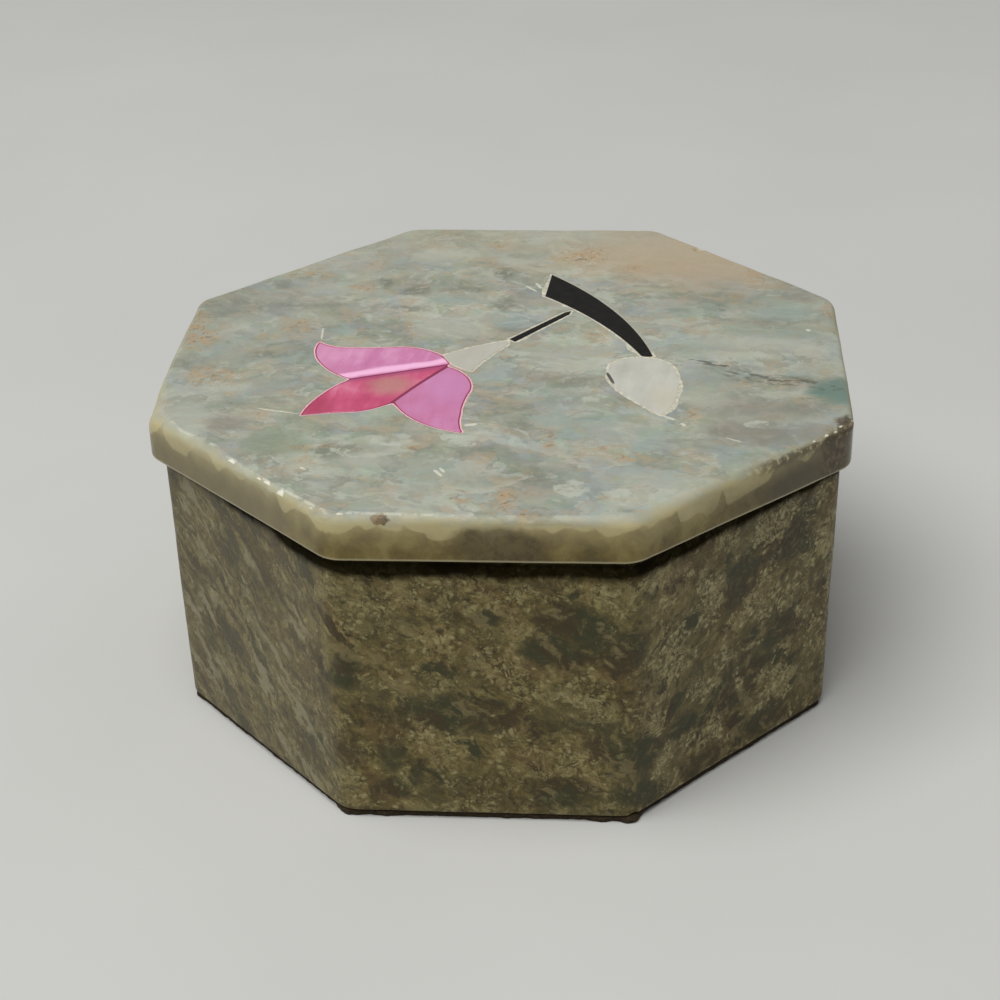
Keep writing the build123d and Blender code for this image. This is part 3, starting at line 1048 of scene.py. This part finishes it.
def body_flakes(f, base, crumpled, layers, many, apart, own):
    """Pale flakes in clusters, dark crevices between them and smears where layers crop out."""
    flake = f.times(f.between(apart, 0.58, 0.18), f.between(f.plus(own, many), 0.8, 1.4))
    small_apart, small_own = f.cells(f.moved(layers, 7, 7, 7), 0.45)
    small = f.times(f.between(small_apart, 0.55, 0.2), f.between(f.plus(small_own, many), 0.9, 1.5))
    ridges = f.away(f.noise(f.moved(crumpled, 15, 0, 0), 1.5, roughness=0.6))
    crinkle = f.times(f.between(ridges, 0.045, 0), many)
    flakes = f.most(flake, small, f.times(crinkle, 0.9))
    base = f.tint(base, f.times(f.between(apart, 0.50, 0.80), many), 0.45, (60, 49, 25))
    outcrops = f.stretched(f.moved(crumpled, 50, 0, 9), (0.75, -0.2, -0.6), 2.6)
    smear = f.between(f.noise(outcrops, 2.4, detail=7, roughness=0.68), 0.54, 0.62)
    base = f.tint(base, smear, 0.55, (134, 121, 82))
    right_side = f.between(f.axis(f.place, "X"), 15, 19)
    flake_colour = f.mix(own, (130, 117, 71), (166, 156, 110))
    flake_colour = f.tint(flake_colour, right_side, 0.3, (184, 176, 138))
    share = f.plus(f.times(right_side, 0.25), 0.7)
    return f.mix(f.times(flakes, share), base, flake_colour)


def body_left_fibres(f, base, crumpled):
    """Slanting fibres on the left side, pale in some clumps and dark in others."""
    slant = (0.55, -0.55, -0.64)
    left_side = f.times(f.between(f.axis(f.place, "X"), -14, -20), f.between(f.axis(f.place, "Y"), 14, -6))
    fibres = f.noise(f.stretched(crumpled, slant, 4.5), 1.5, detail=7, roughness=0.66)
    clumps = f.noise(f.stretched(f.moved(crumpled, 0, 60, 0), slant, 1.6), 5, detail=5)
    pale = f.times(f.between(fibres, 0.51, 0.56), f.times(left_side, f.between(clumps, 0.42, 0.56)))
    base = f.tint(base, pale, 0.85, (147, 140, 110))
    dark = f.times(f.between(fibres, 0.50, 0.43), f.times(left_side, f.between(clumps, 0.58, 0.44)))
    base = f.tint(base, dark, 0.85, (61, 56, 40))
    return f.tint(base, left_side, 0.25, (120, 114, 91))


def body_lid_shadow(f):
    """Painted shade where the lid shelters the body's sides: the lid's shadow as a dark band, deepest along
    the front.
    """
    uneven = f.swing(f.noise(f.place, 4.5), 1.8)
    toward_front = f.times(f.between(f.axis(f.place, "X"), -26, -12), 0.9)
    level = f.plus(f.axis(f.place, "Z"), uneven, toward_front)
    return f.times(f.between(level, RIM_LEVEL - 2, RIM_LEVEL - 0.8), f.attribute("outside"))


def body_stone_finish():
    """Rubbed olive-brown stone: pale grainy flakes over darker grey-green patches."""
    f = Finish("body_stone")
    bedding = (0.35, -0.6, 0.45)
    flow = f.warped(f.warped(f.place, 9, 2), 2.2, 0.6, detail=5)
    layered = f.stretched(flow, bedding, 0.5)
    crumpled = f.warped(f.warped(f.place, 2.6, 1.3, detail=5), 0.6, 0.25, detail=3)
    fine_layers = f.stretched(crumpled, bedding, 0.62)
    lumps = f.noise(f.moved(fine_layers, 0, 20, 0), 1.5, detail=6, roughness=0.7)

    # Dark smooth patches: some by chance, and the larger ones where the photograph has them
    torn = f.warped(f.warped(f.place, 4.5, 2, detail=4), 1, 0.5, detail=4)
    chance = f.noise(f.moved(layered, 30, 10, 0), 6, detail=7, roughness=0.62)
    dark = f.most(f.between(chance, 0.56, 0.61), f.spots(torn, BODY_DARK, 0.7))
    base = body_base(f, layered, lumps, dark)

    clusters = f.noise(f.moved(flow, 0, 0, 35), 3.6, detail=7, roughness=0.7)
    clusters = f.plus(clusters, f.times(f.spots(torn, BODY_PALE, 1.2), 0.14))
    many = f.between(f.minus(clusters, f.times(dark, 0.16)), 0.42, 0.60)
    apart, own = f.cells(fine_layers, 0.85)
    base = body_flakes(f, base, crumpled, fine_layers, many, apart, own)
    base = body_left_fibres(f, base, crumpled)
    # Painted shade: a near-black band under the rim stands in for the lid's shadow.
    lid_shadow = body_lid_shadow(f)
    base = f.tint(base, lid_shadow, 0.93, (16, 13, 7))
    cut = f.attribute("cut")
    base = f.tint(base, cut, 0.35, (140, 134, 112))

    grain = f.noise(f.place, 0.4, roughness=0.7)
    rough = f.plus(f.times(grain, 0.22), f.times(cut, 0.2), 0.36)
    relief = f.plus(f.minus(f.times(lumps, 1.4), f.times(apart, 0.4)), f.turned(cut))
    # The painted shadow under the lid also takes away the sheen.
    sheen = f.times(f.minus(1, lid_shadow), 0.3)
    return f.join(Base_Color=base, Roughness=rough, Specular_IOR_Level=sheen, Normal=f.bump(relief, 0.15))


def felt_finish():
    f = Finish("felt")
    nap = f.stretched(f.warped(f.place, 1, 0.5), (1, 1, 0), 3)
    fibres = f.noise(nap, 0.25, detail=6, roughness=0.8)
    lint = f.between(f.noise(f.moved(f.place, 9, 9, 9), 0.5, detail=6, roughness=0.8), 0.66, 0.74)
    colour = f.ramp(fibres, (0.35, 30, 24, 16), (0.65, 72, 60, 43))
    colour = f.tint(colour, lint, 0.25, (150, 140, 126))
    return f.join(Base_Color=colour, Roughness=0.95, Specular_IOR_Level=0.2, Normal=f.bump(fibres, 0.15))


def with_dark_streak(f, colour):
    """A thin dark streak painted between the bud and its cement."""
    return f.tint(colour, f.streak(f.place, (11.62, -4.8), (12.45, -7.7), 0.38), 0.9, (44, 42, 32))


def cement_finish():
    """Cream joint filler: stained dark against the dyed petals and blushed pink near them."""
    f = Finish("cement")
    mottle = f.noise(f.place, 0.6, roughness=0.7)
    cream = f.ramp(mottle, (0.36, 164, 160, 140), (0.58, 214, 209, 188))
    faint = f.between(f.noise(f.moved(f.place, 5, 0, 0), 3), 0.44, 0.56)
    cream = f.tint(cream, faint, 0.4, (170, 168, 152))
    pink = f.ramp(mottle, (0.36, 216, 148, 158), (0.58, 242, 192, 196))
    colour = f.mix(f.attribute("blush"), cream, pink)
    edge = f.plus(f.attribute("stain"), f.swing(mottle, 0.5))
    colour = f.mix(f.between(edge, 0.50, 0.68), colour, (132, 42, 78))
    # Along the main stem's outer side the joint is thin and has taken the stone's grey
    bend = f.length(f.vector("MULTIPLY", f.moved(f.place, 31.2, 11.2, 0), (1, 1, 0)))
    outer = f.times(f.between(bend, 48.95, 49.2), f.between(f.axis(f.place, "Y"), 0.2, 1))
    colour = f.tint(colour, outer, 0.7, (150, 151, 138))
    return f.join(Base_Color=with_dark_streak(f, colour), Roughness=0.55, Normal=f.bump(mottle, 0.04))


def shell_finish(name, direction, *colours):
    """Dyed shell in three tones, with fine growth lines along a direction."""
    f = Finish(name)
    lines = f.stretched(f.warped(f.place, 5, 0.7), direction, 9)
    growth = f.noise(lines, 1.3, roughness=0.6)
    clouds = f.noise(f.warped(f.place, 6, 1.5), 4.5, detail=3)
    share = f.plus(f.times(growth, 0.45), f.times(clouds, 0.55))
    stops = [(position, *colour) for position, colour in zip((0.34, 0.5, 0.66), colours)]
    return f, f.ramp(share, *stops), growth


def polished(f, colour, growth):
    """The pearly gloss over a shell's colour."""
    return f.join(
        Base_Color=colour,
        Roughness=0.24,
        Coat_Weight=0.3,
        Coat_Roughness=0.12,
        Normal=f.bump(growth, 0.02),
    )


def above_joint(f, x, y):
    """How far a place lies above the joint between the back and middle petals, from a point on it."""
    return f.along(f.moved(f.place, -x, -y, 0), (-0.35, 0.937, 0))


def petal_back_finish():
    f, colour, growth = shell_finish(
        "shell_pink", (0.15, 1, 0), (190, 106, 152), (204, 124, 168), (218, 152, 190)
    )
    # A pearly band along the joint with the middle petal: partly the shell's own lustre, partly a painted
    # reflection highlight.
    above = f.plus(above_joint(f, -16.9, -6.9), f.swing(f.noise(f.place, 3), 0.9))
    pearly_highlight = f.times(f.between(above, 1.75, 1.05), f.between(above, -0.2, 0.5))
    colour = f.tint(colour, pearly_highlight, 0.95, (250, 190, 226))
    light_end = f.between(f.axis(f.place, "X"), -16, -22)
    return polished(f, f.tint(colour, light_end, 0.4, (226, 168, 196)), growth)


def petal_middle_finish():
    f, colour, growth = shell_finish(
        "shell_rose", (0.1, 1, 0), (182, 54, 98), (202, 82, 120), (218, 126, 156)
    )
    patch = f.blot(f.warped(f.place, 1.6, 0.9, detail=4), (-12.2, -8.6, 0), (2.2, 2.2, 0), 1.2)
    colour = f.tint(colour, patch, 0.75, (186, 134, 124))
    shaded = f.between(above_joint(f, -16.9, -7.5), -0.9, -0.1)
    colour = f.tint(colour, shaded, 0.75, (162, 60, 110))
    tip = f.blot(f.place, (-20.4, -14.6, 0), (2.4, 3.4, 0), 1)
    return polished(f, f.tint(colour, tip, 0.7, (164, 42, 78)), growth)


def petal_front_finish():
    f, colour, growth = shell_finish(
        "shell_mauve", (0.05, 1, 0), (190, 106, 146), (198, 118, 160), (204, 134, 178)
    )
    # A lilac patch: partly the shell's own tone, partly a painted highlight.
    lilac_highlight = f.blot(f.warped(f.place, 3, 0.8), (-5.4, -8.6, 0), (2.6, 4.6, 0), 1.2)
    return polished(f, f.tint(colour, lilac_highlight, 0.6, (202, 136, 184)), growth)


def pale_shell_finish():
    f, colour, growth = shell_finish(
        "shell_pale", (0.1, 1, 0), (179, 177, 165), (190, 189, 177), (201, 200, 190)
    )
    colour = f.tint(colour, f.between(f.axis(f.place, "X"), 5, 2), 0.6, (180, 177, 162))
    cream = f.blot(f.warped(f.place, 2, 0.8), (18.2, -11, 0), (2, 3.6, 0), 1)
    colour = f.tint(colour, cream, 0.5, (196, 190, 168))
    return polished(f, with_dark_streak(f, colour), growth)


def black_stone_finish():
    f = Finish("black_stone")
    cloud = f.noise(f.place, 1.2, detail=5, roughness=0.65)
    colour = f.ramp(cloud, (0.35, 17, 17, 15), (0.65, 29, 28, 26))
    scratches = f.noise(f.stretched(f.place, (0.5, -0.86, 0), 12), 0.3, detail=3)
    rough = f.plus(f.times(scratches, 0.2), 0.35)
    return f.join(Base_Color=colour, Roughness=rough, Specular_IOR_Level=0.12, Normal=f.bump(scratches, 0.01))


def floor_finish():
    f = Finish("floor")
    colour = f.ramp(f.noise(f.place, 60), (0.3, 194, 194, 190), (0.7, 198, 198, 194))
    return f.join(Base_Color=colour, Roughness=0.9, Specular_IOR_Level=0.1)


# The object


def place(piece, body, slot, *nodes):
    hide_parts(*nodes)
    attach(piece, body)
    return piece


place(make_body(body_stone_finish()), "box", "body_stone", "body_shell")
place(make_felt(felt_finish()), "box", "felt", "base_felt")
place(make_lid(lid_stone_finish()), "lid", "lid_stone", "lid_slab")
place(make_cement(cement_finish()), "lid", "cement", "inlay_cement")

pale_shell = pale_shell_finish()
black_stone = black_stone_finish()
inlaid = (
    ("petal_back", "shell_pink", petal_back_finish()),
    ("petal_middle", "shell_rose", petal_middle_finish()),
    ("petal_front", "shell_mauve", petal_front_finish()),
    ("calyx", "shell_pale", pale_shell),
    ("bud", "shell_pale", pale_shell),
    ("flower_stem", "black_stone", black_stone),
    ("main_stem", "black_stone", black_stone),
)
for node, slot, material in inlaid:
    place(make_piece(node, node + "_inlay", material), "lid", slot, node)


# The floor, the light and the camera


def make_floor():
    reach = 2.5  # in metres
    mesh = bpy.data.meshes.new("floor")
    corners = [(-reach, -reach, 0), (reach, -reach, 0), (reach, reach, 0), (-reach, reach, 0)]
    mesh.from_pydata(corners, [], [(0, 1, 2, 3)])
    mesh.materials.append(floor_finish())
    floor = bpy.data.objects.new("floor", mesh)
    bpy.context.scene.collection.objects.link(floor)


def add_area_light(name, place, aim, size, power):
    light = bpy.data.lights.new(name, "AREA")
    light.shape = "DISK"
    light.size = size
    light.energy = power
    lamp = bpy.data.objects.new(name, light)
    lamp.location = place
    lamp.rotation_euler = (Vector(aim) - Vector(place)).to_track_quat("-Z", "Y").to_euler()
    bpy.context.scene.collection.objects.link(lamp)


def light_world(brightness):
    world = bpy.data.worlds.new("world")
    world.use_nodes = True
    background = world.node_tree.nodes["Background"]
    background.inputs["Color"].default_value = (1.0, 1.0, 1.0, 1.0)
    background.inputs["Strength"].default_value = brightness
    bpy.context.scene.world = world


def make_camera():
    """The photograph's own view, found from the straight edges of the lid and the body."""
    azimuth, elevation, roll = (math.radians(degrees) for degrees in (4.65, 29.02, -1.41))
    focal_share = 2.0971  # focal length as a share of the picture's width
    sensor_width = 36.0
    eye = Vector((16.5, -215.65, 138.72)) * MM
    back = Vector((
        math.sin(azimuth) * math.cos(elevation),
        -math.cos(azimuth) * math.cos(elevation),
        math.sin(elevation),
    ))
    level_right = Vector((math.cos(azimuth), math.sin(azimuth), 0))
    level_up = back.cross(level_right)
    right = level_right * math.cos(roll) + level_up * math.sin(roll)
    up = level_up * math.cos(roll) - level_right * math.sin(roll)
    data = bpy.data.cameras.new("camera")
    data.sensor_width = sensor_width
    data.lens = sensor_width * focal_share
    data.clip_start = 0.01
    camera = bpy.data.objects.new("camera", data)
    turned = Matrix((right, up, back)).transposed().to_4x4()
    camera.matrix_world = Matrix.Translation(eye) @ turned
    bpy.context.scene.collection.objects.link(camera)
    bpy.context.scene.camera = camera


make_floor()
light_world(0.28)
add_area_light("key", (-0.27, -0.32, 1.0), (0, 0, 0.02), 0.9, 11.3)
make_camera()
bpy.context.scene.view_settings.view_transform = "Standard"
